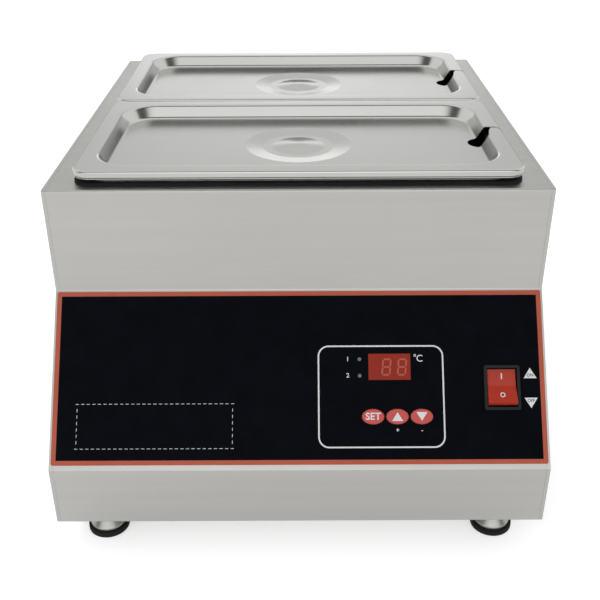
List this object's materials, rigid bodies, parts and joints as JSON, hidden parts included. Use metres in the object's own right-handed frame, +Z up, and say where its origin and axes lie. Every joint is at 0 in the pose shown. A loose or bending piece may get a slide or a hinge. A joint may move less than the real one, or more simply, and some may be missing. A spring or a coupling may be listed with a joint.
{
  "type": "chocolate melter",
  "caption": "Countertop dry-heat chocolate melter: stainless housing with a sloping control panel, lidded pans side by side in a heated well, on screw feet.",
  "frame": {"origin": "middle of the overall footprint, on the surface that the feet stand on", "axes": "+X right, +Y to the rear (the control panel faces -Y), +Z up"},
  "size_m": [0.362, 0.461, 0.2668],
  "materials": {
    "stainless_brushed": "fine brushed grain, slightly warm grey",
    "stainless_pressed": "pressed and lightly polished",
    "aluminium_plain": "plain mill finish",
    "zinc_steel": "zinc plated",
    "foot_steel": "dull turned steel",
    "black_rubber": "matt black rubber",
    "silicone_mat": "silicone rubber mat",
    "insulation_fibre": "needled fibre blanket",
    "probe_steel": "drawn tube",
    "black_plastic": "fine moulded texture",
    "panel_film": "smooth printed film",
    "window_red": "tinted clear window",
    "lamp_clear": "moulded lamp",
    "board_green": "solder mask",
    "brass_plain": "bright brass",
    "relay_case": "moulded case",
    "red_plastic": "moulded red plastic",
    "white_plastic": "moulded block"
  },
  "bodies": {
    "root": {"housing_wrap": "stainless_brushed", "side_panel_left": "stainless_brushed", "side_panel_right": "stainless_brushed", "base_plate": "stainless_brushed", "base_screws": "zinc_steel", "base_nuts": "zinc_steel", "tank": "aluminium_plain", "pan_divider": "zinc_steel", "tank_seal": "black_rubber", "heater_mat_front": "silicone_mat", "heater_mat_rear": "silicone_mat", "insulation_pad": "insulation_fibre", "clamp_plate": "zinc_steel", "clamp_studs": "zinc_steel", "clamp_nuts": "zinc_steel", "tank_hangers": "zinc_steel", "deck_studs": "zinc_steel", "hanger_nuts": "zinc_steel", "temperature_probe": "probe_steel", "probe_clip": "zinc_steel", "thermal_cutout": "black_plastic", "panel_overlay": "panel_film", "display_window": "window_red", "display_module": "black_plastic", "indicator_lamps": "lamp_clear", "key_switches": "black_plastic", "control_board": "board_green", "board_standoffs": "brass_plain", "relay": "relay_case", "rocker_case": "black_plastic", "rocker_blades": "brass_plain", "power_inlet": "black_plastic", "inlet_pins": "brass_plain", "inlet_screws": "zinc_steel", "inlet_nuts": "zinc_steel", "terminal_block": "white_plastic", "earth_stud": "zinc_steel", "foot_nuts": "zinc_steel"},
    "pan_front": {"pan_front": "stainless_pressed"},
    "lid_front": {"lid_front": "stainless_pressed"},
    "pan_rear": {"pan_rear": "stainless_pressed"},
    "lid_rear": {"lid_rear": "stainless_pressed"},
    "rocker": {"rocker": "red_plastic"},
    "button_set": {"button_set": "red_plastic"},
    "button_up": {"button_up": "red_plastic"},
    "button_down": {"button_down": "red_plastic"},
    "foot_front_left": {"foot_front_left": "foot_steel", "foot_pad_front_left": "black_rubber"},
    "foot_front_right": {"foot_front_right": "foot_steel", "foot_pad_front_right": "black_rubber"},
    "foot_rear_left": {"foot_rear_left": "foot_steel", "foot_pad_rear_left": "black_rubber"},
    "foot_rear_right": {"foot_rear_right": "foot_steel", "foot_pad_rear_right": "black_rubber"}
  },
  "joints": [
    {"name": "pan_front_lift", "type": "slide", "parent": "root", "child": "pan_front", "axis": [0, 0, 1], "range_m": [0, 0.13]},
    {"name": "lid_front_lift", "type": "slide", "parent": "pan_front", "child": "lid_front", "axis": [0, 0, 1], "range_m": [0, 0.06]},
    {"name": "pan_rear_lift", "type": "slide", "parent": "root", "child": "pan_rear", "axis": [0, 0, 1], "range_m": [0, 0.13]},
    {"name": "lid_rear_lift", "type": "slide", "parent": "pan_rear", "child": "lid_rear", "axis": [0, 0, 1], "range_m": [0, 0.06]},
    {"name": "rocker_tilt", "type": "hinge", "parent": "root", "child": "rocker", "pos_m": [0.148, -0.19184, 0.11719], "axis": [1, 0, 0], "range_deg": [0, 22]},
    {"name": "button_set_press", "type": "slide", "parent": "root", "child": "button_set", "axis": [0, 0.7853, -0.6192], "range_m": [0, 0.0006], "stiffness_N_per_m": 300, "springref_m": -0.001},
    {"name": "button_up_press", "type": "slide", "parent": "root", "child": "button_up", "axis": [0, 0.7853, -0.6192], "range_m": [0, 0.0006], "stiffness_N_per_m": 300, "springref_m": -0.001},
    {"name": "button_down_press", "type": "slide", "parent": "root", "child": "button_down", "axis": [0, 0.7853, -0.6192], "range_m": [0, 0.0006], "stiffness_N_per_m": 300, "springref_m": -0.001},
    {"name": "foot_front_left_turn", "type": "hinge", "parent": "root", "child": "foot_front_left", "pos_m": [-0.149, -0.2065, 0], "axis": [0, 0, 1], "continuous": true},
    {"name": "foot_front_right_turn", "type": "hinge", "parent": "root", "child": "foot_front_right", "pos_m": [0.149, -0.2065, 0], "axis": [0, 0, 1], "continuous": true},
    {"name": "foot_rear_left_turn", "type": "hinge", "parent": "root", "child": "foot_rear_left", "pos_m": [-0.149, 0.2035, 0], "axis": [0, 0, 1], "continuous": true},
    {"name": "foot_rear_right_turn", "type": "hinge", "parent": "root", "child": "foot_rear_right", "pos_m": [0.149, 0.2035, 0], "axis": [0, 0, 1], "continuous": true}
  ]
}
